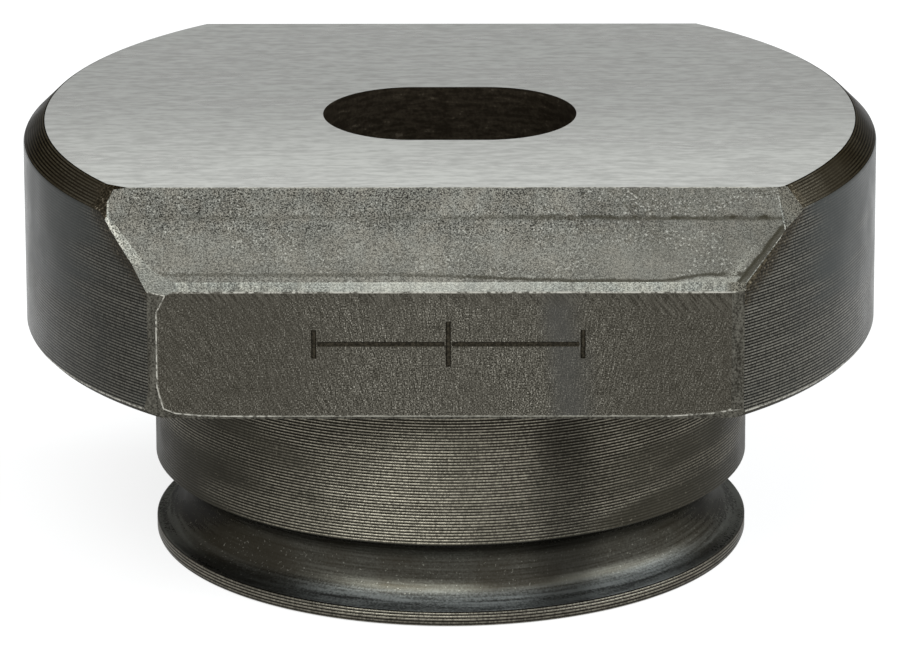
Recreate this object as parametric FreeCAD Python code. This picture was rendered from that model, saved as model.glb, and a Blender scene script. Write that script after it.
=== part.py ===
import FreeCAD, Part
import os
from math import radians, sqrt, tan

# Oval punch die: one piece of hardened tool steel. A flanged round head with two wrench flats and one
# sloping front, a round boss that drops into the die seat, a radiused retaining groove with a thin
# lip under it, and an oval cutting hole that opens into a round slug relief.
# The die stands on its lip. +Z is up, +X runs along the oval and -Y is the bevelled front.
# All sizes are in millimetres.

# Cutting hole and the slug relief under it
oval_length = 10.4
oval_width = 7.36
cutting_land = 5.0
relief_diameter = 13.0
relief_mouth_chamfer = 0.4

# Head
head_diameter = 35.0
head_thickness = 8.75
across_flats = 25.9
top_chamfer = 0.83
underside_chamfer = 0.3
flat_corner_break = 0.38
flat_corner_depth = 0.17

# Sloping front of the head, with a steeper break along its foot
bevel_setback = 2.92
bevel_angle = 48.0
foot_break_width = 0.3
foot_break_height = 0.52

# Boss, retaining groove and lip
boss_diameter = 24.5
boss_length = 5.65
corner_fillet = 0.4
groove_width = 2.85
groove_depth = 1.42
lip_diameter = 24.5
lip_thickness = 0.65
lip_edge_chamfer = 0.12

# Heights worked out from the stack of lip, groove, boss and head
lip_top = lip_thickness
groove_top = lip_top + groove_width
head_underside = groove_top + boss_length
head_top = head_underside + head_thickness
land_bottom = head_top - cutting_land

head_radius = head_diameter / 2
boss_radius = boss_diameter / 2
lip_radius = lip_diameter / 2
relief_radius = relief_diameter / 2
flat_distance = across_flats / 2
root_radius = boss_radius - groove_depth
overrun = 1.0


def line(start, end):
    """Straight edge between two points."""
    return Part.makeLine(start, end)


def arc(start, middle, end):
    """Round edge through three points."""
    return Part.Arc(start, middle, end).toShape()


def section_point(radius, height):
    """Point of the turned section, drawn in the XZ plane."""
    return FreeCAD.Vector(radius, 0, height)


def plan_point(x, y):
    """Point of an outline drawn flat at the lip's underside."""
    return FreeCAD.Vector(x, y, 0)


def turned_blank():
    """Lip, groove, boss and round head as one turned section."""
    fillet_reach = corner_fillet * (1 - sqrt(0.5))
    axis_low = section_point(0, 0)
    lip_foot = section_point(lip_radius - lip_edge_chamfer, 0)
    lip_side = section_point(lip_radius, lip_edge_chamfer)
    lip_edge = section_point(lip_radius, lip_top)
    groove_root = section_point(root_radius, lip_top + groove_width / 2)
    boss_foot = section_point(boss_radius, groove_top)
    fillet_low = section_point(boss_radius, head_underside - corner_fillet)
    fillet_middle = section_point(boss_radius + fillet_reach, head_underside - fillet_reach)
    fillet_high = section_point(boss_radius + corner_fillet, head_underside)
    underside_rim = section_point(head_radius - underside_chamfer, head_underside)
    side_low = section_point(head_radius, head_underside + underside_chamfer)
    side_high = section_point(head_radius, head_top - top_chamfer)
    top_rim = section_point(head_radius - top_chamfer, head_top)
    axis_high = section_point(0, head_top)
    edges = [
        line(axis_low, lip_foot),
        line(lip_foot, lip_side),
        line(lip_side, lip_edge),
        arc(lip_edge, groove_root, boss_foot),
        line(boss_foot, fillet_low),
        arc(fillet_low, fillet_middle, fillet_high),
        line(fillet_high, underside_rim),
        line(underside_rim, side_low),
        line(side_low, side_high),
        line(side_high, top_rim),
        line(top_rim, axis_high),
        line(axis_high, axis_low),
    ]
    section = Part.Face(Part.Wire(edges))
    return section.revolve(FreeCAD.Vector(0, 0, 0), FreeCAD.Vector(0, 0, 1), 360)


def flats_outline():
    """Plan of the head: a circle with two flats, their sharp upright corners broken."""
    flat_half = sqrt(head_radius**2 - flat_distance**2) - flat_corner_break
    break_y = flat_distance - flat_corner_depth
    break_x = sqrt(head_radius**2 - break_y**2)
    corners = {}
    for x_side in (-1, 1):
        for y_side in (-1, 1):
            corners[x_side, y_side] = (
                plan_point(x_side * flat_half, y_side * flat_distance),
                plan_point(x_side * break_x, y_side * break_y),
            )
    edges = []
    for y_side in (-1, 1):
        edges.append(line(corners[-1, y_side][0], corners[1, y_side][0]))
    for x_side in (-1, 1):
        for y_side in (-1, 1):
            edges.append(line(*corners[x_side, y_side]))
        edge_middle = plan_point(x_side * head_radius, 0)
        edges.append(arc(corners[x_side, -1][1], edge_middle, corners[x_side, 1][1]))
    return Part.Wire(Part.sortEdges(edges)[0])


def flats_envelope():
    """Upright column of the head's plan, which trims the turned blank to its flats."""
    column = Part.Face(flats_outline()).extrude(FreeCAD.Vector(0, 0, head_top + 2 * overrun))
    column.translate(FreeCAD.Vector(0, 0, -overrun))
    return column


def front_bevel():
    """Cutter that slopes the front of the head and breaks the edge where the slope meets the flat."""
    slope = tan(radians(bevel_angle))
    break_slope = foot_break_height / foot_break_width
    top_y = flat_distance - bevel_setback
    foot_y = flat_distance - foot_break_width
    foot_z = head_top - (foot_y - top_y) * slope
    flat_top_z = foot_z - foot_break_height
    outside_y = flat_distance + overrun
    above_z = head_top + overrun * slope
    below_z = flat_top_z - overrun * break_slope
    points = [(top_y - overrun, above_z), (foot_y, foot_z), (outside_y, below_z), (outside_y, above_z)]
    corners = [FreeCAD.Vector(-head_diameter, -y, z) for y, z in points]
    wedge = Part.Face(Part.makePolygon(corners + corners[:1]))
    return wedge.extrude(FreeCAD.Vector(2 * head_diameter, 0, 0))


def oval_hole():
    """Oval with round ends, from above the top face down into the slug relief."""
    end_radius = oval_width / 2
    half_straight = (oval_length - oval_width) / 2
    near_left = plan_point(-half_straight, -end_radius)
    near_right = plan_point(half_straight, -end_radius)
    far_right = plan_point(half_straight, end_radius)
    far_left = plan_point(-half_straight, end_radius)
    edges = [
        line(near_left, near_right),
        arc(near_right, plan_point(oval_length / 2, 0), far_right),
        line(far_right, far_left),
        arc(far_left, plan_point(-oval_length / 2, 0), near_left),
    ]
    hole = Part.Face(Part.Wire(edges)).extrude(FreeCAD.Vector(0, 0, cutting_land + 2 * overrun))
    hole.translate(FreeCAD.Vector(0, 0, land_bottom - overrun))
    return hole


def slug_relief():
    """Round relief bored from below up to the cutting land, with a chamfered mouth."""
    bore = Part.makeCylinder(relief_radius, land_bottom + overrun, FreeCAD.Vector(0, 0, -overrun))
    mouth = Part.makeCone(
        relief_radius + relief_mouth_chamfer + overrun,
        relief_radius,
        relief_mouth_chamfer + overrun,
        FreeCAD.Vector(0, 0, -overrun),
    )
    return bore.fuse(mouth)


def die_body():
    """The whole die: turned, flatted, bevelled, then pierced."""
    body = turned_blank().common(flats_envelope())
    body = body.cut(front_bevel())
    body = body.cut(oval_hole())
    body = body.cut(slug_relief())
    return body.removeSplitter()


os.makedirs("parts", exist_ok=True)
die = die_body()
die.exportStep("parts/die_body.step")
print("die_body", round(die.Volume, 1), "mm3, solids", len(die.Solids), "valid", die.isValid())
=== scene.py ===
import bmesh
import bpy
from math import cos, pi, radians, sin, sqrt, tan
from mathutils import Matrix, Vector


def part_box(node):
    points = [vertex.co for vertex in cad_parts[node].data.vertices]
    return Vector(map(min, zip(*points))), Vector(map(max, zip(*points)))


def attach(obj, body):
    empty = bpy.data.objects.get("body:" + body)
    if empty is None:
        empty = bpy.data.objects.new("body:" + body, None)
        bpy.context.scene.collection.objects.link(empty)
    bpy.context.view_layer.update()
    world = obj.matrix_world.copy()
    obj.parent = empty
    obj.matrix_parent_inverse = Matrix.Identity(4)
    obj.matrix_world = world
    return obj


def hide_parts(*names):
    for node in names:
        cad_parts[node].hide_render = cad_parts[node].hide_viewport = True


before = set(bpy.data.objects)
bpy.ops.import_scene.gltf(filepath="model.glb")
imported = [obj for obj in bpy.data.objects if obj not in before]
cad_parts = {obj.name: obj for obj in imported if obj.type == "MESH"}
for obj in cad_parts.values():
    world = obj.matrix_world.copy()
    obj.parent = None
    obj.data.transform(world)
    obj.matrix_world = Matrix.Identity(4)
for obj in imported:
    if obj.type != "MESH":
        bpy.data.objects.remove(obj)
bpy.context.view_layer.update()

# The die's steel. One bar of tool steel carries every finish, so each finish below is a material slot
# of the same piece. Positions are read in millimetres from the piece itself, and colours are given as
# they look in even light, on the usual 0 to 255 scale.
millimetre = 0.001
finishes = []
finish_number = {}


def seen(red, green, blue):
    """Shader colour of a shade given as it looks."""
    linear = []
    for part in (red, green, blue):
        share = part / 255
        linear.append(share / 12.92 if share <= 0.04045 else ((share + 0.055) / 1.055) ** 2.4)
    return (*linear, 1.0)


def place(tree, kind, inputs=None, **settings):
    """New shader node with its settings, and its sockets set or linked."""
    node = tree.nodes.new(kind)
    for name, value in settings.items():
        setattr(node, name, value)
    for socket, value in (inputs or {}).items():
        if isinstance(value, bpy.types.NodeSocket):
            tree.links.new(value, node.inputs[socket])
        else:
            node.inputs[socket].default_value = value
    return node


def sum_of(tree, operation, *values, clamp=False):
    """Output of one Math node."""
    inputs = dict(enumerate(values))
    return place(tree, "ShaderNodeMath", inputs, operation=operation, use_clamp=clamp).outputs[0]


def mixed(tree, *shares):
    """Sum of values, each with its weight."""
    total = 0.0
    for value, weight in shares:
        total = sum_of(tree, "ADD", total, sum_of(tree, "MULTIPLY", value, weight))
    return total


def along(tree, position, direction):
    """How far a position lies along a direction."""
    inputs = {0: position, 1: direction}
    return place(tree, "ShaderNodeVectorMath", inputs, operation="DOT_PRODUCT").outputs["Value"]


def stretched(tree, position, scales):
    """Position with each axis scaled by itself."""
    inputs = {0: position, 1: scales}
    return place(tree, "ShaderNodeVectorMath", inputs, operation="MULTIPLY").outputs[0]


def noise(tree, position, scale, detail=2.0):
    """Soft random value between 0 and 1."""
    inputs = {"Vector": position, "Scale": scale, "Detail": detail}
    return place(tree, "ShaderNodeTexNoise", inputs).outputs[0]


def ramp(tree, value, low, high, to_low=0.0, to_high=1.0):
    """Value spread smoothly from one range to another."""
    inputs = {"Value": value, "From Min": low, "From Max": high, "To Min": to_low, "To Max": to_high}
    return place(tree, "ShaderNodeMapRange", inputs, interpolation_type="SMOOTHSTEP").outputs[0]


def blend(tree, share, first, second):
    """Colour between two colours."""
    inputs = {0: share, 6: first, 7: second}
    return place(tree, "ShaderNodeMix", inputs, data_type="RGBA").outputs[2]


def new_group(name, inputs, outputs):
    """Empty node group with named sockets, its tree, and the nodes that hold them."""
    tree = bpy.data.node_groups.new(name, "ShaderNodeTree")
    for direction, sockets in (("INPUT", inputs), ("OUTPUT", outputs)):
        for label, kind in sockets.items():
            tree.interface.new_socket(label, in_out=direction, socket_type="NodeSocket" + kind)
    return tree, tree.nodes.new("NodeGroupInput").outputs, tree.nodes.new("NodeGroupOutput").inputs


def use_group(tree, group, inputs):
    """A group placed in a material, as its outputs."""
    return place(tree, "ShaderNodeGroup", inputs, node_tree=group).outputs


def new_steel(name, metal=1.0, rim=1.0):
    """Steel material, with its tree, its shader and the position. Rim is its shine at a grazing look."""
    material = bpy.data.materials.new(name)
    material.use_nodes = True
    tree = material.node_tree
    tree.nodes.clear()
    shader = tree.nodes.new("ShaderNodeBsdfPrincipled")
    shader.inputs["Metallic"].default_value = metal
    shader.inputs["Specular Tint"].default_value = (rim, rim, rim, 1.0)
    output = tree.nodes.new("ShaderNodeOutputMaterial")
    tree.links.new(shader.outputs[0], output.inputs[0])
    metres = tree.nodes.new("ShaderNodeTexCoord").outputs["Object"]
    finish_number[name] = len(finishes)
    finishes.append(material)
    return tree, shader, stretched(tree, metres, (1 / millimetre,) * 3)


def finish_with(tree, shader, colour, roughness, height, depth):
    """Feeds colour, roughness and a relief of a given depth in millimetres to the shader."""
    tree.links.new(colour, shader.inputs["Base Color"])
    if isinstance(roughness, float):
        shader.inputs["Roughness"].default_value = roughness
    else:
        tree.links.new(roughness, shader.inputs["Roughness"])
    inputs = {"Strength": 1.0, "Distance": depth * millimetre, "Height": height}
    bump = place(tree, "ShaderNodeBump", inputs)
    tree.links.new(bump.outputs[0], shader.inputs["Normal"])


def change_colour(tree, shader, group, inputs):
    """Passes the colour of a finish through a group that changes it in places."""
    colour = shader.inputs["Base Color"].links[0].from_socket
    changed = use_group(tree, group, {"Colour": colour, **inputs})["Colour"]
    tree.links.new(changed, shader.inputs["Base Color"])


# The turned surfaces: side of the head, boss, groove and lip. The steel is dark from hardening, and the
# feed of the lathe tool leaves fine ridges round it. Their crests are lighter in fine dots and bright specks,
# partly rubbed bare and partly painted glints of the lamps, and some zones are smoothed to an even grey.
turning, given, result = new_group(
    "turned steel",
    {
        "Position": "Vector",
        "Feed": "Float",
        "Pitch": "Float",
        "Dot length": "Float",
        "Smooth zones": "Float",
        "Dark": "Color",
        "Light": "Color",
        "Even": "Color",
        "Stain": "Color",
        "Roughness": "Float",
    },
    {"Colour": "Color", "Height": "Float", "Roughness": "Float"},
)
turns = sum_of(turning, "DIVIDE", given["Feed"], given["Pitch"])
turn = sum_of(turning, "FLOOR", turns)
ridge = ramp(turning, sum_of(turning, "PINGPONG", turns, 0.5), 0.08, 0.42)
turn_shade = place(turning, "ShaderNodeTexWhiteNoise", {"W": turn}, noise_dimensions="1D").outputs[0]
dot_size = sum_of(turning, "DIVIDE", 1.0, given["Dot length"])
dot_flat = stretched(turning, given["Position"], (1, 1, 0))
dot_flat = place(turning, "ShaderNodeVectorMath", {0: dot_flat, 3: dot_size}, operation="SCALE").outputs[0]
dot_turn = place(turning, "ShaderNodeCombineXYZ", {2: sum_of(turning, "MULTIPLY", turn, 7.31)}).outputs[0]
dot_place = place(turning, "ShaderNodeVectorMath", {0: dot_flat, 1: dot_turn}, operation="ADD").outputs[0]
# Painted glints: the crests are lit up in fine dots, partly rubbed bare steel.
crest_glints = ramp(turning, noise(turning, dot_place, 1.0, 3.0), 0.32, 0.68, 0.5, 1.28)
shade = ramp(turning, turn_shade, 0.0, 1.0, 0.74, 1.04)
zone_value = noise(turning, stretched(turning, given["Position"], (0.1, 0.1, 0.45)), 1.0, 2.0)
smooth = ramp(turning, sum_of(turning, "SUBTRACT", given["Smooth zones"], zone_value), -0.1, 0.14)
crest = sum_of(turning, "MULTIPLY", ridge, sum_of(turning, "MULTIPLY", crest_glints, shade))
kept = sum_of(turning, "SUBTRACT", 1.0, sum_of(turning, "MULTIPLY", smooth, 0.7))
colour = blend(turning, crest, given["Dark"], given["Light"])
colour = blend(turning, sum_of(turning, "MULTIPLY", smooth, 0.9), colour, given["Even"])
stain_and_shade = ramp(turning, noise(turning, given["Position"], 0.45, 3.0), 0.42, 0.75, 0.0, 0.3)
colour = blend(turning, stain_and_shade, colour, given["Stain"])
# Painted glints: bright specks where the lamps would catch the ridges.
glint_specks = ramp(turning, noise(turning, given["Position"], 9.0, 1.0), 0.66, 0.78, 0.0, 0.35)
colour = blend(turning, glint_specks, colour, given["Light"])
shiny = sum_of(turning, "SUBTRACT", given["Roughness"], 0.04)
dull = sum_of(turning, "ADD", given["Roughness"], 0.05)
mottle = ramp(turning, noise(turning, given["Position"], 0.5, 3.0), 0.3, 0.7, shiny, dull)
turning.links.new(colour, result["Colour"])
turning.links.new(sum_of(turning, "MULTIPLY", ridge, kept), result["Height"])
turning.links.new(mottle, result["Roughness"])


def turned_steel(name, feed, tones, smooth=0.42, pitch=0.126, rough=0.34, depth=0.008, **surface):
    """Turned finish whose ridges follow a feed direction given in radius and height."""
    tree, shader, position = new_steel(name, **surface)
    flat = stretched(tree, position, (1, 1, 0))
    radius = place(tree, "ShaderNodeVectorMath", {0: flat}, operation="LENGTH").outputs["Value"]
    height = along(tree, position, (0, 0, 1))
    dark, light, even = tones
    inputs = {
        "Position": position,
        "Feed": mixed(tree, (radius, feed[0]), (height, feed[1])),
        "Pitch": pitch,
        "Dot length": 0.075,
        "Smooth zones": smooth(tree, position) if callable(smooth) else smooth,
        "Dark": seen(*dark),
        "Light": seen(*light),
        "Even": seen(*even),
        "Stain": seen(*[part * 0.8 for part in even]),
        "Roughness": rough,
    }
    marks = use_group(tree, turning, inputs)
    finish_with(tree, shader, marks["Colour"], marks["Roughness"], marks["Height"], depth)
    return tree, shader, position


def smooth_ends(tree, position):
    """Smooth zones of the head's side: a little everywhere, and more at its two ends, mostly in the upper
    half.
    """
    parts = place(tree, "ShaderNodeSeparateXYZ", {0: position}).outputs
    end = ramp(tree, sum_of(tree, "ABSOLUTE", parts["X"]), 12.6, 16.0, 0.0, 0.34)
    upper = ramp(tree, parts["Z"], 10.6, 13.4, -0.2, 1.0)
    return sum_of(tree, "ADD", sum_of(tree, "MULTIPLY", end, upper), 0.32)


die_low, die_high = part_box("die_body")
head_radius = -die_low.x / millimetre
head_top = die_high.z / millimetre
flat_distance = die_high.y / millimetre
bevel_setback = 2.92
bevel_top_y = flat_distance - bevel_setback
bevel_angle = radians(48.0)
bevel_normal = Vector((0, -sin(bevel_angle), cos(bevel_angle)))
down_slope = Vector((0, -cos(bevel_angle), -sin(bevel_angle)))
slope_start = Vector((0, -bevel_top_y, head_top))


# The turned surfaces beside the slope are browned, where grit strayed over its edge. Elsewhere they are
# darkened in upright bands across the die, painted shade where no lamp is reflected.
browning, given, result = new_group(
    "browned edge", {"Position": "Vector", "Colour": "Color"}, {"Colour": "Color"}
)
under_slope = along(browning, given["Position"], tuple(bevel_normal))
under_slope = sum_of(browning, "SUBTRACT", bevel_normal.dot(slope_start), under_slope)
uneven = noise(browning, given["Position"], 1.5, 3.0)
strayed = mixed(browning, (under_slope, 1.0), (uneven, -0.5))
fade = ramp(browning, strayed, -0.1, 0.55, 0.85, 0.0)
grit = noise(browning, given["Position"], 10.0, 2.0)
brown = blend(browning, ramp(browning, grit, 0.4, 0.62), seen(34, 31, 25), seen(68, 62, 51))
brown = blend(browning, ramp(browning, grit, 0.62, 0.72), brown, seen(132, 126, 112))
browning.links.new(blend(browning, fade, given["Colour"], brown), result["Colour"])
skin_inputs = {"Position": "Vector", "Colour": "Color"}
for label in ("Place", "Near", "Far", "Strength"):
    skin_inputs[label] = "Float"
painted_shade_band, given, result = new_group("painted shade band", skin_inputs, {"Colour": "Color"})
across = along(painted_shade_band, given["Position"], (1, 0, 0))
uneven = noise(painted_shade_band, stretched(painted_shade_band, given["Position"], (0.8, 0.8, 0.5)), 1.0, 3.0)
gap = sum_of(painted_shade_band, "ABSOLUTE", sum_of(painted_shade_band, "SUBTRACT", across, given["Place"]))
gap = mixed(painted_shade_band, (gap, 1.0), (uneven, 1.2), (1.0, -0.6))
stain_and_shade = ramp(painted_shade_band, gap, given["Near"], given["Far"], given["Strength"], 0.0)
shaded_colour = blend(painted_shade_band, stain_and_shade, given["Colour"], seen(30, 29, 25))
painted_shade_band.links.new(shaded_colour, result["Colour"])


def shade_band(tree, shader, position, middle, near, far, strength):
    """Darkens a finish round a place across the die, as painted shade."""
    inputs = {"Position": position, "Place": middle, "Near": near, "Far": far, "Strength": strength}
    change_colour(tree, shader, painted_shade_band, inputs)


def highlight_fades_to_sides(tree, position):
    """Smooth zones of the boss: its ridges are sharp and bright in front, a painted highlight of the front
    lamp, and even towards the two sides.
    """
    from_front = sum_of(tree, "ABSOLUTE", sum_of(tree, "ADD", along(tree, position, (1, 0, 0)), 0.6))
    return ramp(tree, from_front, 2.5, 9.0, 0.2, 0.6)


side_tones = ((10, 10, 9), (114, 112, 104), (60, 63, 62))
tree, shader, position = turned_steel("side", (0, 1), side_tones, smooth=smooth_ends, rough=0.3, rim=0.75)
change_colour(tree, shader, browning, {"Position": position})
# Painted shade: the left end of the side is darkened.
shade_band(tree, shader, position, -17.0, 3.0, 7.5, 0.45)
chamfer_tones = ((34, 31, 26), (80, 76, 66), (55, 51, 43))
tree, shader, position = turned_steel("rim_chamfer", (0.7, -0.7), chamfer_tones, rim=0.35, depth=0.003)
change_colour(tree, shader, browning, {"Position": position})
# Painted highlight: the boss's light crests show in front and fade to an even tone at the sides.
boss_tones = ((27, 25, 21), (142, 137, 123), (48, 46, 39))
boss_finish = {"smooth": highlight_fades_to_sides, "rough": 0.36, "depth": 0.034, "rim": 0.6}
tree, shader, position = turned_steel("boss", (0, 1), boss_tones, **boss_finish)
# Painted shade: a dark band between the two lamps' highlights, and the boss's left part darkened.
shade_band(tree, shader, position, 4.7, 0.3, 1.9, 0.6)
shade_band(tree, shader, position, -9.5, 0.5, 3.5, 0.35)
lip_tones = ((20, 18, 15), (120, 116, 105), (52, 49, 42))
turned_steel("lip", (0, 1), lip_tones, smooth=0.16, pitch=0.129, depth=0.016, rim=0.6)
foot_tones = ((50, 48, 43), (78, 75, 69), (64, 61, 55))
turned_steel("foot", (1, 0), foot_tones, pitch=0.14, depth=0.003)
relief_tones = ((34, 31, 27), (66, 62, 55), (50, 47, 41))
turned_steel("relief", (0, 1), relief_tones, pitch=0.18)

# The retaining groove. A round tool leaves it smoother than the boss, with fine lines round it. Low
# on its left it is painted darker as shade, and where it runs out to the lip it is painted a lighter grey
# sheen, a painted highlight of the lamps.
groove_radius = 1.425
groove_foot = 0.65
tree, shader, position = new_steel("groove", metal=0.86, rim=0.25)
shader.inputs["Specular IOR Level"].default_value = 0.2
height = along(tree, position, (0, 0, 1))
fine_turns = noise(tree, stretched(tree, position, (0.25, 0.25, 13)), 1.0, 3.0)
coarse_turns = noise(tree, stretched(tree, position, (0.12, 0.12, 4)), 1.0, 2.0)
grains = noise(tree, position, 11.0, 2.0)
patches = noise(tree, position, 0.5, 3.0)
marks = mixed(tree, (fine_turns, 0.45), (coarse_turns, 0.2), (grains, 0.35))
colour = blend(tree, ramp(tree, marks, 0.34, 0.68), seen(48, 46, 40), seen(77, 76, 70))
colour = blend(tree, ramp(tree, patches, 0.4, 0.7, 0.0, 0.5), colour, seen(50, 46, 38))
across = along(tree, position, (1, 0, 0))
# Painted shade: the groove is darkened low on its left, round x = -8.4.
from_left_shade = mixed(tree, (sum_of(tree, "ABSOLUTE", sum_of(tree, "ADD", across, 8.4)), 1.0), (patches, 1.5))
painted_left_shade = ramp(tree, from_left_shade, 1.6, 4.6, 0.75, 0.0)
painted_left_shade = sum_of(tree, "MULTIPLY", painted_left_shade, ramp(tree, height, 1.9, 2.8, 1.0, 0.0))
colour = blend(tree, painted_left_shade, colour, seen(38, 35, 28))
# Painted highlight: a lighter grey sheen with fine lines near the lip, where the lamps are reflected.
painted_sheen = ramp(tree, height, groove_foot + 0.05, groove_foot + 0.6, 1.0, 0.0)
painted_sheen = sum_of(tree, "MULTIPLY", painted_sheen, sum_of(tree, "SUBTRACT", 0.9, painted_left_shade))
limbs = ramp(tree, sum_of(tree, "ABSOLUTE", across), 8.0, 10.5, 1.0, 0.25)
painted_sheen = sum_of(tree, "MULTIPLY", painted_sheen, limbs)
sheen_tone = blend(tree, ramp(tree, marks, 0.36, 0.62), seen(64, 65, 64), seen(137, 141, 140))
colour = blend(tree, painted_sheen, colour, sheen_tone)
glint_specks = ramp(tree, noise(tree, position, 10.0, 1.0), 0.66, 0.78, 0.0, 0.5)
colour = blend(tree, glint_specks, colour, seen(130, 129, 120))
rough = ramp(tree, marks, 0.3, 0.7, 0.28, 0.38)
rough = sum_of(tree, "ADD", rough, sum_of(tree, "MULTIPLY", painted_sheen, 0.12))
finish_with(tree, shader, colour, rough, marks, 0.006)
# Painted shade: the same dark band between the two lamps' highlights.
shade_band(tree, shader, position, 4.7, 0.4, 2.0, 0.65)

# The cutting face. It is ground flat after hardening, which takes the dark skin off, so it is the
# brightest surface: fine straight streaks along the oval, and faint cloudy patches. It is painted
# brighter towards the front, a painted gradient of the light it reflects.
tree, shader, position = new_steel("cutting_face")
long_streaks = noise(tree, stretched(tree, position, (0.7, 3.0, 1)), 1.0, 3.0)
short_streaks = noise(tree, stretched(tree, position, (1.8, 5.0, 1)), 1.0, 2.0)
clouds = noise(tree, stretched(tree, position, (0.14, 0.4, 1)), 1.0, 4.0)
streaks = mixed(tree, (long_streaks, 0.4), (short_streaks, 0.35), (clouds, 0.25))
# Painted light: the face grows brighter from back to front.
lit_towards_front = ramp(tree, along(tree, position, (0, -1, 0)), -flat_distance, bevel_top_y)
lit_towards_front = sum_of(tree, "POWER", lit_towards_front, 3.0)
shaded_back_tone = blend(tree, ramp(tree, streaks, 0.38, 0.62), seen(119, 120, 116), seen(144, 146, 142))
lit_front_tone = blend(tree, ramp(tree, streaks, 0.38, 0.62), seen(158, 160, 155), seen(187, 189, 184))
colour = blend(tree, lit_towards_front, shaded_back_tone, lit_front_tone)
pits = noise(tree, stretched(tree, position, (3.0, 9.0, 1)), 1.0, 1.0)
colour = blend(tree, ramp(tree, pits, 0.7, 0.8, 0.0, 0.4), colour, seen(120, 118, 110))
rough = ramp(tree, clouds, 0.3, 0.7, 0.26, 0.36)
finish_with(tree, shader, colour, rough, streaks, 0.002)

# The walls of the oval hole. They are cut by wire, so they are fine grained and matt, and they hold
# the two working edges: the sharp rim above and the step into the slug relief below.
tree, shader, position = new_steel("land", metal=0.8, rim=0.4)
spark_marks = noise(tree, position, 8.0, 2.0)
bands = noise(tree, stretched(tree, position, (1.6, 1.6, 6)), 1.0, 3.0)
marks = mixed(tree, (spark_marks, 0.35), (bands, 0.65))
colour = blend(tree, ramp(tree, marks, 0.38, 0.62), seen(42, 36, 28), seen(63, 56, 46))
colour = blend(tree, ramp(tree, marks, 0.6, 0.68), colour, seen(92, 84, 72))
finish_with(tree, shader, colour, 0.45, spark_marks, 0.004)

# The small break under the head, where the turned side runs out to the underside. It is dull and brown,
# turned with the side and never rubbed.
tree, shader, position = new_steel("underside_break", rim=0.4)
grains = noise(tree, position, 7.0, 2.0)
colour = blend(tree, ramp(tree, grains, 0.35, 0.68), seen(46, 43, 36), seen(74, 71, 62))
finish_with(tree, shader, colour, 0.42, grains, 0.006)

# The rubbed edges. Where an edge stands proud, its dark skin is worn through by handling in a narrow
# bright line, broken up in fine grains, and it is painted brighter still, as the highlight a rounded edge
# catches.
tree, shader, position = new_steel("rubbed_and_lit_edge", rim=0.7)
edge_wear_and_sheen = mixed(tree, (noise(tree, position, 8.0, 2.0), 0.65), (noise(tree, position, 1.2, 2.0), 0.35))
colour = blend(tree, ramp(tree, edge_wear_and_sheen, 0.4, 0.58), seen(84, 82, 75), seen(176, 174, 165))
finish_with(tree, shader, colour, 0.4, edge_wear_and_sheen, 0.004)

# The turned blank with its hole. A closed section runs from the oval rim over the head, down the boss,
# round the groove and lip, and back up the slug relief. Its corners are broken with a fine slant, all but
# those of the oval, and it is carried round the axis in even columns.
oval_length = 10.4
oval_width = 7.36
cutting_land = 5.0
relief_radius = 6.5
relief_mouth = 0.4
top_chamfer = 0.83
head_underside = 9.15
underside_chamfer = 0.3
face_ring = 7.4
boss_radius = 12.25
boss_fillet = 0.4
lip_edge = 0.12
columns = 360
groove_steps = 28
fillet_steps = 5
corner_width = 0.05


def oval_reach(angle):
    """Distance from the axis to the oval's wall."""
    end_radius = oval_width / 2
    end_place = (oval_length - oval_width) / 2
    run = abs(cos(angle))
    rise = abs(sin(angle))
    if end_radius * run <= end_place * rise:
        return end_radius / rise
    return end_place * run + sqrt(end_radius**2 - (end_place * rise) ** 2)


def turned_section():
    """Rings of the section: radius, height and the finish of the strip below. No radius is the oval."""
    rings = [(None, head_top, "cutting_face")]
    rings.append((face_ring, head_top, "cutting_face"))
    rings.append((head_radius - top_chamfer, head_top, "rim_chamfer"))
    rings.append((head_radius, head_top - top_chamfer, "side"))
    rings.append((head_radius, head_underside + underside_chamfer, "underside_break"))
    rings.append((head_radius - underside_chamfer, head_underside, "foot"))
    for step in range(fillet_steps + 1):
        turn = pi / 2 * step / fillet_steps
        radius = boss_radius + boss_fillet * (1 - sin(turn))
        rings.append((radius, head_underside - boss_fillet * (1 - cos(turn)), "boss"))
    groove_middle = groove_foot + groove_radius
    for step in range(groove_steps + 1):
        turn = pi / 2 - pi * step / groove_steps
        radius = boss_radius - groove_radius * cos(turn)
        rings.append((radius, groove_middle + groove_radius * sin(turn), "groove"))
    rings[-1] = (boss_radius, groove_foot, "lip")
    rings.append((boss_radius, lip_edge, "lip"))
    rings.append((boss_radius - lip_edge, 0.0, "foot"))
    rings.append((relief_radius + relief_mouth, 0.0, "relief"))
    rings.append((relief_radius, relief_mouth, "relief"))
    rings.append((relief_radius, head_top - cutting_land, "relief"))
    rings.append((None, head_top - cutting_land, "land"))
    return rings


def slanted_corners(rings):
    """The section with a short slant in place of each of its corners."""
    slanted = []
    for index, (radius, height, finish) in enumerate(rings):
        before = rings[index - 1]
        after = rings[(index + 1) % len(rings)]
        if radius is None or before[0] is None or after[0] is None:
            slanted.append((radius, height, finish))
            continue
        corner = Vector((radius, height))
        back = Vector(before[:2]) - corner
        on = Vector(after[:2]) - corner
        if (-back).angle(on) < radians(20):
            slanted.append((radius, height, finish))
            continue
        start = corner + back.normalized() * min(corner_width, back.length / 3)
        end = corner + on.normalized() * min(corner_width, on.length / 3)
        slanted.append((*start, "rubbed_and_lit_edge" if finish == "underside_break" else finish))
        slanted.append((*end, finish))
    return slanted


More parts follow.
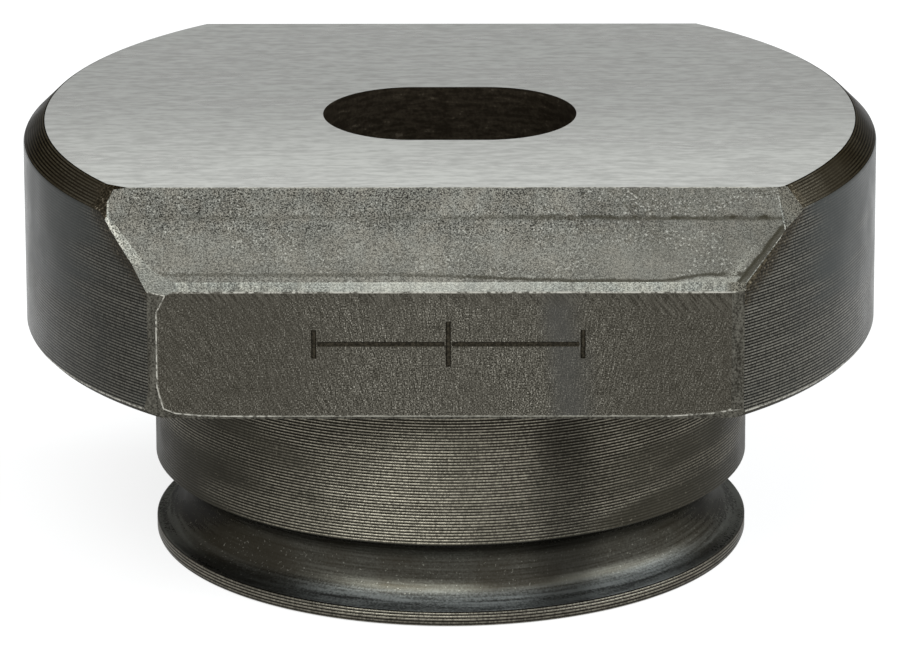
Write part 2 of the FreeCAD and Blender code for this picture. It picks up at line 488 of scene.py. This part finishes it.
def turned_blank():
    """The section carried round the axis, in millimetres."""
    blank = bmesh.new()
    rows = []
    section = slanted_corners(turned_section())
    for radius, height, finish in section:
        row = []
        for column in range(columns):
            angle = 2 * pi * column / columns
            reach = oval_reach(angle) if radius is None else radius
            row.append(blank.verts.new((reach * cos(angle), reach * sin(angle), height)))
        rows.append(row)
    for index, (radius, height, finish) in enumerate(section):
        row = rows[index]
        below = rows[(index + 1) % len(rows)]
        for column in range(columns):
            following = (column + 1) % columns
            face = blank.faces.new((row[column], below[column], below[following], row[following]))
            face.material_index = finish_number[finish]
    bmesh.ops.recalc_face_normals(blank, faces=blank.faces)
    return blank


die = turned_blank()


def cut_away(point, outward, finish):
    """Cuts off what part of the head lies outside a plane, and closes it with a flat face."""
    lowest = head_underside - 0.01
    faces = [face for face in die.faces if min(corner.co.z for corner in face.verts) > lowest]
    chosen = set(faces)
    edges = [edge for edge in die.edges if not chosen.isdisjoint(edge.link_faces)]
    corners = [corner for corner in die.verts if not chosen.isdisjoint(corner.link_faces)]
    geometry = [*corners, *edges, *faces]
    plane = {"plane_co": Vector(point), "plane_no": Vector(outward).normalized()}
    cut = bmesh.ops.bisect_plane(die, geom=geometry, dist=1e-5, clear_outer=True, **plane)
    rim = [part for part in cut["geom_cut"] if isinstance(part, bmesh.types.BMEdge)]
    rim = [edge for edge in rim if edge.is_boundary]
    made = bmesh.ops.contextual_create(die, geom=rim)
    for face in made["faces"]:
        face.material_index = finish_number[finish]


# The two flats. They are milled square to the cutting face after turning. The cutter swung past from
# below, so its strokes fan out across the face. Hardening left it a dark brown grey, and its rim is
# rubbed bright where the edges stand proud, and painted brighter as a highlight on the edge. Each flat
# is painted darker towards its ends as shade, and the front one has a darker upright band, a painted
# reflection. The front one is worn round at its two lower corners.
# Painted highlight: the rim's bright line is partly wear and partly the light a rounded edge catches.
rim_wear_and_sheen_group, given, result = new_group(
    "worn and lit rim", {"Position": "Vector", "Distance": "Float", "Width": "Float"}, {"Wear and sheen": "Float"}
)
coarse = noise(rim_wear_and_sheen_group, given["Position"], 1.3, 2.0)
fine = noise(rim_wear_and_sheen_group, given["Position"], 8.0, 2.0)
reach = mixed(rim_wear_and_sheen_group, (coarse, 1.6), (fine, 1.8))
reach = sum_of(rim_wear_and_sheen_group, "MULTIPLY", sum_of(rim_wear_and_sheen_group, "SUBTRACT", reach, 0.75), given["Width"])
rim_wear_and_sheen = ramp(rim_wear_and_sheen_group, sum_of(rim_wear_and_sheen_group, "SUBTRACT", reach, given["Distance"]), -0.02, 0.04)
rim_wear_and_sheen_group.links.new(rim_wear_and_sheen, result["Wear and sheen"])
foot_break_width = 0.143
foot_break_height = 0.346
flat_top = 14.47
lower_rim = (
    (-11.6, 10.5),
    (-11.52, 10.15),
    (-11.35, 9.585),
    (-10.865, 9.39),
    (-9.87, 9.29),
    (-8.0, 9.26),
    (8.8, 9.26),
    (10.5, 9.38),
    (11.1, 9.48),
)
front_rim = ((-11.6, flat_top),) + lower_rim + ((11.31, 9.6), (11.31, flat_top))
flat_corner_break = 0.38
flat_corner_depth = 0.17
flat_half = sqrt(head_radius**2 - flat_distance**2) - flat_corner_break
back_rim = (
    (-flat_half, head_top),
    (-flat_half, head_underside),
    (flat_half, head_underside),
    (flat_half, head_top),
)


def inside_of(tree, position, rim):
    """Distance in from the nearest side of an outline given in x and z, all sides bulging outwards."""
    nearest = 10.0
    for start, end in zip(rim, rim[1:] + rim[:1]):
        run = Vector((end[0] - start[0], 0, end[1] - start[1])).normalized()
        inward = Vector((-run.z, 0, run.x))
        offset = inward.x * start[0] + inward.z * start[1]
        distance = sum_of(tree, "SUBTRACT", along(tree, position, tuple(inward)), offset)
        nearest = sum_of(tree, "MINIMUM", nearest, distance)
    return nearest


milling, given, result = new_group(
    "milled face", {"Position": "Vector", "Top": "Float"}, {"Colour": "Color", "Marks": "Float"}
)
point = given["Position"]
fan_foot = {0: point, 1: (2.0, 0, -8.0)}
from_foot = place(milling, "ShaderNodeVectorMath", fan_foot, operation="SUBTRACT").outputs[0]
parts = place(milling, "ShaderNodeSeparateXYZ", {0: from_foot}).outputs
swing = sum_of(milling, "MULTIPLY", sum_of(milling, "ARCTAN2", parts["X"], parts["Z"]), 300.0)
stroke_place = {0: swing, 1: sum_of(milling, "MULTIPLY", parts["Z"], 1.6)}
strokes = noise(milling, place(milling, "ShaderNodeCombineXYZ", stroke_place).outputs[0], 1.0, 2.0)
speckle = noise(milling, stretched(milling, point, (1, 1, 0.75)), 21.0, 1.0)
clouds = noise(milling, point, 0.4, 2.0)
marks = mixed(milling, (strokes, 0.28), (speckle, 0.72))
colour = blend(milling, ramp(milling, marks, 0.38, 0.63), seen(42, 40, 34), seen(107, 104, 95))
colour = blend(milling, ramp(milling, marks, 0.58, 0.7), colour, seen(170, 167, 157))
colour = blend(milling, ramp(milling, clouds, 0.4, 0.7, 0.0, 0.35), colour, seen(72, 69, 62))
# Painted reflection: a darker upright band on the front flat, round x = 5.5.
leaning = mixed(milling, (along(milling, point, (1, 0, 0.073)), 1.0), (clouds, 1.2), (1.0, -0.6))
from_dark_band = sum_of(milling, "ABSOLUTE", sum_of(milling, "SUBTRACT", leaning, 5.55))
in_front = ramp(milling, along(milling, point, (0, 1, 0)), -1.0, 1.0, 1.0, 0.0)
stain_and_shade = sum_of(milling, "MULTIPLY", ramp(milling, from_dark_band, 0.1, 1.1, 0.6, 0.0), in_front)
colour = blend(milling, stain_and_shade, colour, seen(72, 72, 70))
# Painted shade: each flat is darker towards its two ends.
parts = place(milling, "ShaderNodeSeparateXYZ", {0: point}).outputs
from_middle = sum_of(milling, "ABSOLUTE", sum_of(milling, "SUBTRACT", parts["X"], 0.5))
colour = blend(milling, ramp(milling, from_middle, 2.0, 9.0, 0.0, 0.45), colour, seen(57, 54, 47))
chatter_place = {0: mixed(milling, (parts["X"], 8.0), (parts["Z"], 6.5)), 1: parts["X"]}
chatter = noise(milling, place(milling, "ShaderNodeCombineXYZ", chatter_place).outputs[0], 1.0, 2.0)
right_reach = ramp(milling, parts["X"], 4.5, 9.5, 0.0, 0.55)
chatter_height = mixed(milling, (parts["Z"], 1.0), (clouds, 0.8), (right_reach, 1.0))
chatter_start = sum_of(milling, "SUBTRACT", given["Top"], 0.3)
chatter_end = sum_of(milling, "ADD", given["Top"], 0.35)
near_top = ramp(milling, chatter_height, chatter_start, chatter_end, 0.0, 0.5)
chatter_tone = blend(milling, ramp(milling, chatter, 0.4, 0.6), seen(46, 43, 37), seen(88, 85, 77))
milling.links.new(blend(milling, near_top, colour, chatter_tone), result["Colour"])
milling.links.new(marks, result["Marks"])


def milled_steel(name, rim, top):
    """Milled finish of a flat with a rubbed outline, painted brighter as a highlight too."""
    tree, shader, position = new_steel(name)
    face = use_group(tree, milling, {"Position": position, "Top": top})
    edge = inside_of(tree, position, rim)
    rim_wear_and_sheen = use_group(tree, rim_wear_and_sheen_group, {"Position": position, "Distance": edge, "Width": 0.04})["Wear and sheen"]
    colour = blend(tree, rim_wear_and_sheen, face["Colour"], seen(160, 158, 148))
    finish_with(tree, shader, colour, 0.5, face["Marks"], 0.012)


milled_steel("front_flat", front_rim, flat_top)
milled_steel("back_flat", back_rim, head_top)
cut_away((0, flat_distance, 0), (0, 1, 0), "back_flat")
cut_away((0, -flat_distance, 0), (0, -1, 0), "front_flat")

# The four upright corner breaks. Each sharp corner between a flat and the round side is taken off with
# a narrow flat band, smoother and duller than the milled face beside it. The front left one is the
# widest, and the front right one hardly leaves the plane of the flat. The flat's lower rim is worn
# off in the same way, in short slants that follow its rounded corners.
tree, shader, position = new_steel("corner_break", rim=0.6)
strokes = noise(tree, stretched(tree, position, (6, 6, 0.9)), 1.0, 2.0)
brushing = mixed(tree, (strokes, 0.4), (noise(tree, position, 13.0, 1.0), 0.6))
colour = blend(tree, ramp(tree, brushing, 0.34, 0.68), seen(46, 44, 39), seen(97, 95, 87))
finish_with(tree, shader, colour, 0.42, brushing, 0.004)
back_break = Vector((flat_corner_depth, flat_corner_break + 0.02, 0))
corner_breaks = (
    (Vector((-11.6, -flat_distance, 0)), Vector((-0.21, -0.4, 0))),
    (Vector((11.25, -flat_distance, 0)), Vector((0.013, -0.5, 0))),
    (Vector((-flat_half, flat_distance, 0)), Vector((-back_break.x, back_break.y, 0))),
    (Vector((flat_half, flat_distance, 0)), back_break),
)
for corner, outward in corner_breaks:
    cut_away(corner, outward, "corner_break")
worn_slant = radians(25)
for start, end in zip(lower_rim, lower_rim[1:]):
    run = Vector((end[0] - start[0], 0, end[1] - start[1])).normalized()
    outward = Vector((run.z, 0, -run.x)) * sin(worn_slant) + Vector((0, -1, 0)) * cos(worn_slant)
    cut_away((start[0], -flat_distance, start[1]), outward, "corner_break")

# The sloping front. It is milled at about 48 degrees and then grit blasted, so it sparkles in fine
# grains, and a steeper lighter break runs along its foot where it meets the flat. A dark line runs
# round it, a painted shadow of a small step, faint along the top and sharp at the right.


def slope_point(across, down):
    """Point of the sloping front, given across from the middle and down from its top edge."""
    return slope_start + Vector((across, 0, 0)) + down_slope * down


blasting, given, result = new_group(
    "blasted steel",
    {"Position": "Vector", "Dark": "Color", "Light": "Color", "Grain": "Float", "Upright share": "Float"},
    {"Colour": "Color", "Grains": "Float"},
)
point = given["Position"]
grains = noise(blasting, point, sum_of(blasting, "DIVIDE", 1.0, given["Grain"]), 1.5)
grain_share = sum_of(blasting, "SUBTRACT", 1.0, given["Upright share"])
upright = noise(blasting, stretched(blasting, point, (7, 0.8, 0.8)), 1.0, 2.0)
patches = noise(blasting, point, 0.5, 3.0)
lifted = mixed(blasting, (grains, grain_share), (upright, given["Upright share"]), (patches, 0.25))
tone = blend(blasting, ramp(blasting, lifted, 0.4, 0.86), given["Dark"], given["Light"])
hue = ramp(blasting, noise(blasting, point, 1.4, 2.0), 0.35, 0.65)
cast = blend(blasting, hue, seen(255, 250, 238), seen(247, 255, 255))
tinted = {0: 0.3, 6: tone, 7: cast}
tinted = place(blasting, "ShaderNodeMix", tinted, data_type="RGBA", blend_type="MULTIPLY").outputs[2]
blasting.links.new(tinted, result["Colour"])
blasting.links.new(grains, result["Grains"])


def blasted_tone(tree, position, dark, light, grain, upright_share=0.1):
    """Colour and relief of grit-blasted steel with grains of a given size."""
    tones = {"Dark": seen(*dark), "Light": seen(*light)}
    inputs = {"Position": position, "Grain": grain, "Upright share": upright_share, **tones}
    marks = use_group(tree, blasting, inputs)
    return marks["Colour"], marks["Grains"]


tree, shader, position = new_steel("bevel", rim=0.7)
colour, grains = blasted_tone(tree, position, (16, 16, 14), (109, 107, 101), 0.055)
across = along(tree, position, (1, 0, 0))
down = sum_of(tree, "SUBTRACT", along(tree, position, tuple(down_slope)), down_slope.dot(slope_start))
middle = ramp(tree, down, 1.5, 3.0, 0.0, 0.22)
colour = blend(tree, middle, colour, seen(106, 104, 97))
colour = blend(tree, ramp(tree, across, 3.0, 9.0, 0.0, 0.42), colour, seen(70, 69, 64))
bites = noise(tree, position, 11.0, 2.0)
clusters = ramp(tree, noise(tree, stretched(tree, position, (0.5, 1, 1)), 1.1, 2.0), 0.45, 0.6, 0.25, 1.0)
dark_bites = sum_of(tree, "MULTIPLY", ramp(tree, bites, 0.34, 0.42, 0.6, 0.0), clusters)
colour = blend(tree, dark_bites, colour, seen(50, 48, 41))
bright_bites = sum_of(tree, "MULTIPLY", ramp(tree, bites, 0.6, 0.68, 0.0, 0.5), clusters)
colour = blend(tree, bright_bites, colour, seen(150, 149, 142))
waver = noise(tree, position, 1.2, 3.0)
ragged = noise(tree, position, 6.0, 2.0)
stray = mixed(tree, (waver, 0.4), (ragged, 0.16))
upper_gap = sum_of(tree, "ABSOLUTE", sum_of(tree, "SUBTRACT", sum_of(tree, "ADD", down, stray), 1.6))
upper_strength = ramp(tree, across, -4, 11, 0.3, 1.0)
upper_strength = sum_of(tree, "MULTIPLY", upper_strength, ramp(tree, waver, 0.35, 0.55, 0.5, 1.0))
upper_line = sum_of(tree, "MULTIPLY", ramp(tree, upper_gap, 0.03, 0.16, 1.0, 0.0), upper_strength)
low_place = ramp(tree, across, -2.5, 6.0, 3.8, 4.06)
low_place = sum_of(tree, "SUBTRACT", low_place, ramp(tree, across, 8.3, 10.5, 0.0, 0.28))
low_gap = mixed(tree, (down, 1.0), (stray, 0.5), (low_place, -1.0), (1.0, -0.14))
low_strength = ramp(tree, across, -4, 4, 0.45, 0.8)
lower_line = ramp(tree, sum_of(tree, "ABSOLUTE", low_gap), 0.02, 0.12, 1.0, 0.0)
lower_line = sum_of(tree, "MULTIPLY", lower_line, low_strength)
turned_up = sum_of(tree, "MULTIPLY", ramp(tree, low_gap, 0.05, 0.18), ramp(tree, across, 8.0, 10.0, 0.0, 0.5))
turned_up = sum_of(tree, "MULTIPLY", turned_up, ramp(tree, grains, 0.36, 0.56, 0.4, 1.0))
colour = blend(tree, turned_up, colour, seen(122, 122, 115))
leg_start = Vector((13.25, 1.75))
leg_run = (Vector((11.6, 4.0)) - leg_start).normalized()
leg_place = mixed(tree, (across, leg_run.y), (down, -leg_run.x), (stray, 0.4))
leg_gap = sum_of(tree, "SUBTRACT", leg_place, leg_run.y * leg_start.x - leg_run.x * leg_start.y + 0.11)
below = ramp(tree, down, 1.4, 1.8)
right_line = ramp(tree, sum_of(tree, "ABSOLUTE", leg_gap), 0.03, 0.12, 0.95, 0.0)
right_line = sum_of(tree, "MULTIPLY", right_line, below)
margin = sum_of(tree, "MULTIPLY", ramp(tree, leg_gap, 0.0, 0.1, 0.0, 0.85), below)
colour = blend(tree, margin, colour, seen(48, 46, 40))
beyond = sum_of(tree, "LESS_THAN", leg_gap, 0.1)
# Painted shadow: dark lines along the top, the foot and the right leg of the slope.
shadow = sum_of(tree, "MULTIPLY", sum_of(tree, "MAXIMUM", upper_line, lower_line), beyond)
shadow = sum_of(tree, "MAXIMUM", shadow, right_line)
colour = blend(tree, shadow, colour, seen(40, 38, 31))
fringe = sum_of(tree, "MULTIPLY", ramp(tree, leg_gap, -0.75, -0.3), ramp(tree, down, 2.2, 3.6))
fringe = sum_of(tree, "MULTIPLY", fringe, ramp(tree, leg_gap, -0.3, -0.18, 1.0, 0.0))
fringe = sum_of(tree, "MULTIPLY", fringe, ramp(tree, grains, 0.4, 0.6))
colour = blend(tree, fringe, colour, seen(106, 105, 98))
finish_with(tree, shader, colour, 0.6, grains, 0.016)

tree, shader, position = new_steel("foot_break", rim=0.7)
colour, grains = blasted_tone(tree, position, (62, 62, 59), (142, 142, 135), 0.06, 0.3)
across = along(tree, position, (1, 0, 0))
towards_middle = ramp(tree, sum_of(tree, "ABSOLUTE", across), 1.0, 7.5, 0.3, 0.0)
colour = blend(tree, towards_middle, colour, seen(152, 152, 145))
faded = ramp(tree, mixed(tree, (across, 1.0), (grains, 0.5)), 11.1, 11.55, 0.0, 0.9)
worn = blend(tree, ramp(tree, grains, 0.4, 0.62), seen(40, 38, 33), seen(94, 91, 82))
colour = blend(tree, faded, colour, worn)
finish_with(tree, shader, colour, 0.55, grains, 0.014)
cut_away(slope_start, bevel_normal, "bevel")
foot_point = (0, -flat_distance, flat_top)
cut_away(foot_point, (0, -foot_break_height, foot_break_width), "foot_break")

# The stoned corners of the slope. A light band runs down its left edge and widens towards the flat,
# where it turns into the foot. A dark narrow one runs down its right edge, under a small triangle.
tree, shader, position = new_steel("stoned", rim=0.7)
colour, grains = blasted_tone(tree, position, (14, 14, 12), (122, 121, 115), 0.055, 0.2)
flat_place = stretched(tree, position, (1, 1, 0))
radius = place(tree, "ShaderNodeVectorMath", {0: flat_place}, operation="LENGTH").outputs["Value"]
upper_end = ramp(tree, along(tree, position, (0, 0, 1)), 15.6, 16.8)
brink = ramp(tree, radius, head_radius - 0.14, head_radius - 0.08)
brink = sum_of(tree, "MULTIPLY", brink, ramp(tree, grains, 0.4, 0.6, 0.1, 0.65))
colour = blend(tree, sum_of(tree, "MULTIPLY", upper_end, brink), colour, seen(150, 148, 140))
lower_end = ramp(tree, along(tree, position, (0, 0, -1)), -16.0, -14.8, 0.0, 0.4)
colour = blend(tree, lower_end, colour, seen(106, 106, 100))
finish_with(tree, shader, colour, 0.5, grains, 0.012)
tree, shader, position = new_steel("brown_band", rim=0.5)
grains = noise(tree, position, 8.0, 2.0)
colour = blend(tree, ramp(tree, grains, 0.34, 0.68), seen(38, 35, 28), seen(76, 70, 58))
colour = blend(tree, ramp(tree, grains, 0.62, 0.74), colour, seen(120, 114, 98))
finish_with(tree, shader, colour, 0.45, grains, 0.01)


def slanted_break(upper, lower, tilt, finish):
    """Plane through two points of the sloping face, tilted down towards the side of the head."""
    run = (slope_point(*lower) - slope_point(*upper)).normalized()
    sideways = bevel_normal.cross(run)
    if sideways.x * upper[0] < 0:
        sideways.negate()
    outward = bevel_normal * cos(radians(tilt)) + sideways * sin(radians(tilt))
    cut_away(slope_point(*lower), outward, finish)


def three_point_break(points, finish):
    """Plane through three points."""
    first, second, third = [Vector(point) for point in points]
    outward = (second - first).cross(third - first)
    if outward.y > 0:
        outward.negate()
    cut_away(first, outward, finish)


tree, shader, position = new_steel("right_tip", rim=0.6)
colour, grains = blasted_tone(tree, position, (16, 15, 13), (74, 72, 66), 0.06, 0.1)
finish_with(tree, shader, colour, 0.5, grains, 0.014)
slanted_break((-13.52, 0.55), (-13.49, 1.31), 5, "stoned")
slanted_break((-13.48, 1.33), (-13.14, 1.92), 9, "stoned")
slanted_break((-13.065, 1.86), (-12.083, 3.21), 8, "stoned")
slanted_break((-12.083, 3.21), (-11.723, 3.60), 9, "stoned")
flat_corner = (-11.24, -flat_distance, 14.33)
low_corner = (-11.98, -12.757, 14.45)
three_point_break((slope_point(-11.723, 3.60), slope_point(-11.223, 3.91), flat_corner), "stoned")
three_point_break((flat_corner, (-11.587, -flat_distance, 13.62), low_corner), "corner_break")
slanted_break((-13.57, 0.577), (-13.55, 1.6), 15, "rim_chamfer")
cut_away((-12.9, -9.95, head_top), (-0.088, -0.15, 0.985), "rim_chamfer")
right_corner = (14.161, -10.282, 17.069)
three_point_break((slope_point(13.085, 0.05), slope_point(13.323, 1.43), right_corner), "right_tip")
slanted_break((13.36, 1.95), (11.95, 3.95), 32, "brown_band")

# The broken edges. Handling has taken a fine slant off each straight edge of the head, and round the
# front most of these slants are rubbed bright, with a painted highlight on them.


def break_edges(first, second, width, finish):
    """Takes a narrow slant off each straight edge between two finishes."""
    found = {}
    for edge in die.edges:
        names = {finishes[face.material_index].name for face in edge.link_faces}
        if names != {first, second} or edge.calc_length() < 0.45 or not edge.is_convex:
            continue
        start, end = [corner.co.copy() for corner in edge.verts]
        sides = [face.normal.copy() for face in edge.link_faces]
        bend = sides[0].angle(sides[1])
        if bend < radians(8):
            continue
        outward = (sides[0] + sides[1]).normalized()
        depth = width / 2 * tan(bend / 2)
        found[tuple(round(part, 2) for part in outward)] = ((start + end) / 2 - outward * depth, outward)
    for point, outward in found.values():
        cut_away(point, outward, finish)


die.normal_update()
break_edges("bevel", "cutting_face", 0.05, "rubbed_and_lit_edge")
break_edges("bevel", "rim_chamfer", 0.1, "rubbed_and_lit_edge")
break_edges("bevel", "right_tip", 0.05, "stoned")
break_edges("bevel", "brown_band", 0.04, "stoned")
break_edges("bevel", "foot_break", 0.05, "foot_break")
break_edges("foot_break", "front_flat", 0.06, "rubbed_and_lit_edge")
break_edges("front_flat", "stoned", 0.05, "rubbed_and_lit_edge")
break_edges("corner_break", "stoned", 0.05, "rubbed_and_lit_edge")
break_edges("front_flat", "corner_break", 0.05, "rubbed_and_lit_edge")
break_edges("corner_break", "side", 0.05, "side")
break_edges("back_flat", "cutting_face", 0.05, "rubbed_and_lit_edge")
break_edges("back_flat", "corner_break", 0.05, "rubbed_and_lit_edge")
break_edges("back_flat", "foot", 0.05, "corner_break")

# The engraved marks. A plain witness line with a tick at its middle and at both ends is cut into the
# front flat, in line with the middle and the ends of the oval.
tree, shader, position = new_steel("engraved", metal=0.7, rim=0.4)
burr = noise(tree, position, 9.0, 2.0)
colour = blend(tree, ramp(tree, burr, 0.35, 0.68), seen(32, 29, 22), seen(58, 53, 43))
finish_with(tree, shader, colour, 0.5, burr, 0.01)
cutter = bmesh.new()


def swept(sections, finish):
    """Closed cutter through a row of four-cornered sections."""
    rows = [[cutter.verts.new(corner) for corner in section] for section in sections]
    faces = [cutter.faces.new(rows[0]), cutter.faces.new(rows[-1])]
    for row, following in zip(rows, rows[1:]):
        for corner in range(4):
            turn = (corner + 1) % 4
            faces.append(cutter.faces.new((row[corner], row[turn], following[turn], following[corner])))
    for face in faces:
        face.material_index = finish_number[finish]


def scratch(path, outward, depth, finish):
    """Cuts a stroke into a face along points with widths, in millimetres."""
    points = [Vector(point) for point, width in path]
    sections = []
    for index, (point, width) in enumerate(path):
        ahead = points[min(index + 1, len(points) - 1)]
        behind = points[max(index - 1, 0)]
        side = (ahead - behind).cross(Vector(outward)).normalized() * width / 2
        lift = Vector(outward) * 0.1
        sink = Vector(outward) * -depth
        here = points[index]
        mouth = (here - side * 1.2 + lift, here + side * 1.2 + lift)
        floor = (here + side * 0.4 + sink, here - side * 0.4 + sink)
        sections.append(mouth + floor)
    swept(sections, finish)


oval_half = oval_length / 2
witness_height = 12.3
front = (0, -1, 0)
marks = (
    ((-oval_half, witness_height), (-0.15, witness_height)),
    ((0.15, witness_height), (oval_half, witness_height)),
    ((-oval_half - 0.15, witness_height - 0.6), (-oval_half - 0.15, witness_height + 0.6)),
    ((oval_half + 0.15, witness_height - 0.6), (oval_half + 0.15, witness_height + 0.6)),
    ((0, witness_height - 0.95), (0, witness_height + 0.95)),
)
for mark in marks:
    scratch([((x, -flat_distance, z), 0.27) for x, z in mark], front, 0.08, "engraved")
bmesh.ops.recalc_face_normals(cutter, faces=cutter.faces)

# The piece itself, one steel part with all its finishes. The finished shape takes the place of the plain
# one, its marks are cut in, and its slants are shaded round.


def as_object(shape, name):
    """Object made from a shape in millimetres, with all the finishes in their slots."""
    mesh = bpy.data.meshes.new(name)
    bmesh.ops.scale(shape, vec=(millimetre,) * 3, verts=shape.verts)
    shape.to_mesh(mesh)
    shape.free()
    for material in finishes:
        mesh.materials.append(material)
    piece = bpy.data.objects.new(name, mesh)
    bpy.context.scene.collection.objects.link(piece)
    return piece


def apply_modifiers(piece):
    """Keeps the result of a piece's modifiers as its mesh."""
    result = bpy.data.meshes.new_from_object(piece.evaluated_get(bpy.context.evaluated_depsgraph_get()))
    piece.modifiers.clear()
    piece.data = result
    result.name = piece.name
    return result


bmesh.ops.remove_doubles(die, verts=die.verts, dist=0.0002)
bmesh.ops.recalc_face_normals(die, faces=die.faces)
punch_die = as_object(die, "punch_die")
engraver = as_object(cutter, "engraver")
engraving = punch_die.modifiers.new("engraving", "BOOLEAN")
engraving.operation = "DIFFERENCE"
engraving.solver = "EXACT"
engraving.material_mode = "INDEX"
engraving.object = engraver
engraved = apply_modifiers(punch_die)
bpy.data.objects.remove(engraver)


shape = bmesh.new()
shape.from_mesh(engraved)
turned_finishes = {
    "cutting_face",
    "rim_chamfer",
    "side",
    "underside_break",
    "foot",
    "boss",
    "groove",
    "lip",
    "relief",
}
for edge in shape.edges:
    names = {finishes[face.material_index].name for face in edge.link_faces}
    softest = radians(50) if names <= turned_finishes and "cutting_face" not in names else radians(30)
    edge.smooth = (len(names) == 1 or names <= turned_finishes) and edge.calc_face_angle(0.0) < softest
for face in shape.faces:
    face.smooth = True
shape.to_mesh(engraved)
shape.free()
facing = punch_die.modifiers.new("facing", "WEIGHTED_NORMAL")
facing.keep_sharp = True
facing.weight = 100
apply_modifiers(punch_die)
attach(punch_die, "root")
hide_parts("die_body")

# The studio: a plain pale floor and an even white room, with one large soft lamp high at the front
# left and another high at the right. The lamps come down until pale steel keeps its grey.
floor_mesh = bpy.data.meshes.new("studio_floor")
floor_shape = bmesh.new()
bmesh.ops.create_circle(floor_shape, cap_ends=True, segments=64, radius=4.0)
floor_shape.to_mesh(floor_mesh)
floor_shape.free()
studio_floor = bpy.data.objects.new("studio_floor", floor_mesh)
bpy.context.scene.collection.objects.link(studio_floor)
studio_floor.location.z = -0.01 * millimetre


def seen_directly(tree):
    """1 for rays that come from the camera, or from it by way of polished steel or glass."""
    rays = tree.nodes.new("ShaderNodeLightPath").outputs
    through = sum_of(tree, "MAXIMUM", rays["Is Glossy Ray"], rays["Is Transmission Ray"])
    return sum_of(tree, "MAXIMUM", rays["Is Camera Ray"], through)


floor_material = bpy.data.materials.new("pale_floor")
floor_material.use_nodes = True
tree = floor_material.node_tree
tree.nodes.clear()
cloth = place(tree, "ShaderNodeBsdfDiffuse", {"Color": (0.8, 0.8, 0.8, 1)})
shade = place(tree, "ShaderNodeBsdfDiffuse", {"Color": (0.2, 0.2, 0.2, 1)})
glow = place(tree, "ShaderNodeEmission", {"Color": (1, 1, 1, 1), "Strength": 0.82})
white = place(tree, "ShaderNodeAddShader", {0: shade.outputs[0], 1: glow.outputs[0]})
inputs = {0: seen_directly(tree), 1: cloth.outputs[0], 2: white.outputs[0]}
either = place(tree, "ShaderNodeMixShader", inputs)
output = place(tree, "ShaderNodeOutputMaterial", {0: either.outputs[0]})
floor_mesh.materials.append(floor_material)

world = bpy.data.worlds.new("white_room")
bpy.context.scene.world = world
world.use_nodes = True
tree = world.node_tree
tree.nodes.clear()
room_light = 0.3
strength = ramp(tree, seen_directly(tree), 0.0, 1.0, room_light, 1.0)
room = place(tree, "ShaderNodeBackground", {"Color": (1, 1, 1, 1), "Strength": strength})
place(tree, "ShaderNodeOutputWorld", {0: room.outputs[0]})


def soft_lamp(name, azimuth, elevation, distance, size, power, colour):
    """Square lamp that faces the die. Azimuth 0 is straight in front, and positive is to the right."""
    light = bpy.data.lights.new(name, "AREA")
    light.shape = "RECTANGLE"
    light.size = size[0]
    light.size_y = size[1]
    light.energy = power
    light.color = colour
    lamp = bpy.data.objects.new(name, light)
    bpy.context.scene.collection.objects.link(lamp)
    turn = radians(azimuth)
    lift = radians(elevation)
    towards = Vector((sin(turn) * cos(lift), -cos(turn) * cos(lift), sin(lift)))
    middle = Vector((0, 0, head_top / 2 * millimetre))
    lamp.location = middle + towards * distance
    lamp.rotation_euler = towards.to_track_quat("Z", "Y").to_euler()


soft_lamp("front_left_lamp", -20, 52, 0.6, (0.46, 0.32), 4.0, (0.96, 1.0, 1.0))
soft_lamp("right_lamp", 87, 45, 0.6, (0.5, 0.32), 4.2, (0.92, 0.97, 1.0))

# The camera stands in front of the die and looks down on it by less than 19 degrees, from far enough
# away that its upright edges stay nearly parallel.
camera_data = bpy.data.cameras.new("camera")
camera_data.lens = 310.55
camera_data.sensor_width = 36.0
camera = bpy.data.objects.new("camera", camera_data)
bpy.context.scene.collection.objects.link(camera)
camera_target = Vector((-0.017, 0, 8.743)) * millimetre
camera_distance = 321.62 * millimetre
camera_lift = radians(18.705)
camera_turn = radians(0.383)
camera_roll = radians(-0.166)
back = Vector((sin(camera_turn) * cos(camera_lift), -cos(camera_turn) * cos(camera_lift), sin(camera_lift)))
right = (-back).cross(Vector((0, 0, 1))).normalized()
up = right.cross(-back)
level_right = right * cos(camera_roll) + up * sin(camera_roll)
level_up = up * cos(camera_roll) - right * sin(camera_roll)
camera.matrix_world = Matrix.Translation(camera_target + back * camera_distance) @ (
    Matrix((level_right, level_up, back)).transposed().to_4x4()
)
bpy.context.scene.camera = camera
bpy.context.scene.view_settings.view_transform = "Standard"
